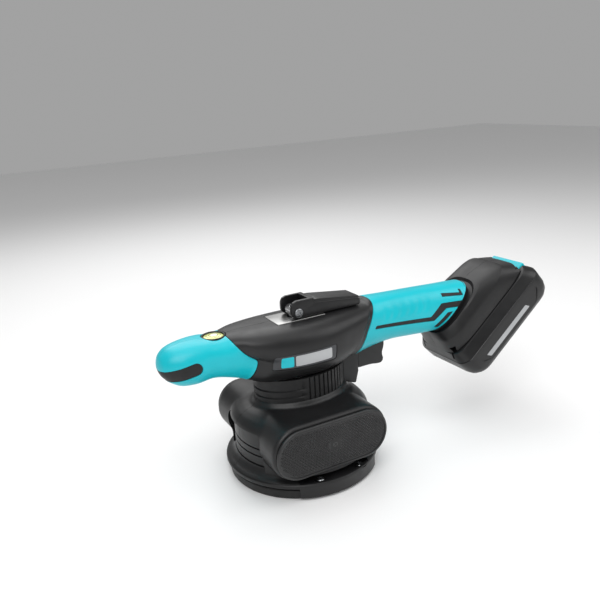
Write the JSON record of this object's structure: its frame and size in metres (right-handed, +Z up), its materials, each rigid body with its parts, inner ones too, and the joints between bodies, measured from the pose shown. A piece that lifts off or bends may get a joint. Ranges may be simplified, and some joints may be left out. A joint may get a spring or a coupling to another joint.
{
  "type": "cordless tile vibrator",
  "caption": "Cordless tile-setting vibrator: suction base with twin vibration motors, in-line handle with lift lever, trigger, bubble level and slide-on battery.",
  "frame": {"origin": "centre of the suction disc's flat underside, on the floor the tool stands on", "axes": "+Z up; +X along the handle, from the palm grip to the battery; +Y to the tool's left side"},
  "size_m": [0.3857, 0.134, 0.1513],
  "materials": {
    "shell_black": "moulded satin",
    "control_black": "fine grain",
    "battery_black": "moulded satin",
    "shell_teal": "moulded satin",
    "latch_teal": "moulded satin",
    "soft_black": "matte",
    "suction_rubber": "smooth matte",
    "plate_steel": "brushed",
    "rod_steel": "turned",
    "screw_chrome": "bright",
    "spring_steel": "drawn wire",
    "motor_steel": "zinc plated",
    "weight_brass": "machined",
    "blade_brass": "stamped",
    "vial_green": "clear tinted",
    "board_green": "solder mask",
    "heatsink_alu": "extruded",
    "cell_wrap": "shrink wrap"
  },
  "bodies": {
    "housing": {"base_shell_front": "shell_black", "base_shell_back": "shell_black", "body_shell_front": "shell_black", "body_shell_back": "shell_black", "foot_shell_front": "shell_black", "foot_shell_back": "shell_black", "base_flange": "shell_black", "motor_cradle_front": "shell_black", "motor_cradle_back": "shell_black", "switch_cover": "control_black", "trigger_switch": "control_black", "level_bezel": "control_black", "terminal_block": "control_black", "palm_shell_front": "shell_teal", "palm_shell_back": "shell_teal", "grip_shell_front": "shell_teal", "grip_shell_back": "shell_teal", "palm_insert": "soft_black", "tread_pad_front": "soft_black", "tread_pad_back": "soft_black", "neck_sleeve": "soft_black", "seal_ring": "suction_rubber", "saddle_plate": "plate_steel", "motor_bearing_front": "rod_steel", "motor_bearing_back": "rod_steel", "pad_screw_front": "screw_chrome", "pad_screw_back": "screw_chrome", "flange_screw_front_left": "screw_chrome", "flange_screw_front_right": "screw_chrome", "flange_screw_back_left": "screw_chrome", "flange_screw_back_right": "screw_chrome", "return_spring": "spring_steel", "trigger_spring": "spring_steel", "motor_can_front": "motor_steel", "motor_can_back": "motor_steel", "terminal_blade_1": "blade_brass", "terminal_blade_2": "blade_brass", "terminal_blade_3": "blade_brass", "level_vial": "vial_green", "control_board": "board_green", "board_heatsink": "heatsink_alu"},
    "lift_rod": {"pull_rod": "rod_steel", "suction_disc": "suction_rubber", "pivot_screw": "screw_chrome"},
    "flip_lever": {"lever": "control_black"},
    "run_trigger": {"trigger": "control_black"},
    "battery": {"battery_case": "battery_black", "battery_lid": "battery_black", "battery_cell_1": "cell_wrap", "battery_cell_2": "cell_wrap", "battery_cell_3": "cell_wrap", "battery_cell_4": "cell_wrap", "latch_spring": "spring_steel"},
    "release_latch": {"battery_latch": "latch_teal"},
    "motor_front": {"motor_shaft_front": "rod_steel", "eccentric_front_left": "weight_brass", "eccentric_front_right": "weight_brass"},
    "motor_back": {"motor_shaft_back": "rod_steel", "eccentric_back_left": "weight_brass", "eccentric_back_right": "weight_brass"}
  },
  "joints": [
    {"name": "rod_lift", "type": "slide", "parent": "housing", "child": "lift_rod", "axis": [0, 0, 1], "range_m": [0, 0.0017], "deforming": ["return_spring"]},
    {"name": "lever_flip", "type": "hinge", "parent": "lift_rod", "child": "flip_lever", "pos_m": [0, 0, 0.141], "axis": [0, -1, 0], "range_deg": [0, 90]},
    {"name": "trigger_pull", "type": "slide", "parent": "housing", "child": "run_trigger", "axis": [0, 0, 1], "range_m": [0, 0.005], "stiffness_N_per_m": 400, "springref_m": -0.002, "deforming": ["trigger_spring"]},
    {"name": "battery_slide", "type": "slide", "parent": "housing", "child": "battery", "axis": [0.766, 0, 0.6428], "range_m": [0, 0.06]},
    {"name": "latch_press", "type": "slide", "parent": "battery", "child": "release_latch", "axis": [-0.766, 0, -0.6428], "range_m": [0, 0.0025], "stiffness_N_per_m": 600, "springref_m": -0.001},
    {"name": "motor_front_spin", "type": "hinge", "parent": "housing", "child": "motor_front", "pos_m": [0, -0.038, 0.041], "axis": [1, 0, 0], "continuous": true},
    {"name": "motor_back_spin", "type": "hinge", "parent": "housing", "child": "motor_back", "pos_m": [0, 0.038, 0.041], "axis": [1, 0, 0], "continuous": true}
  ],
  "couplings": [
    {"joint": "lever_flip", "follows": "rod_lift", "rad_per_m": 923.99}
  ]
}
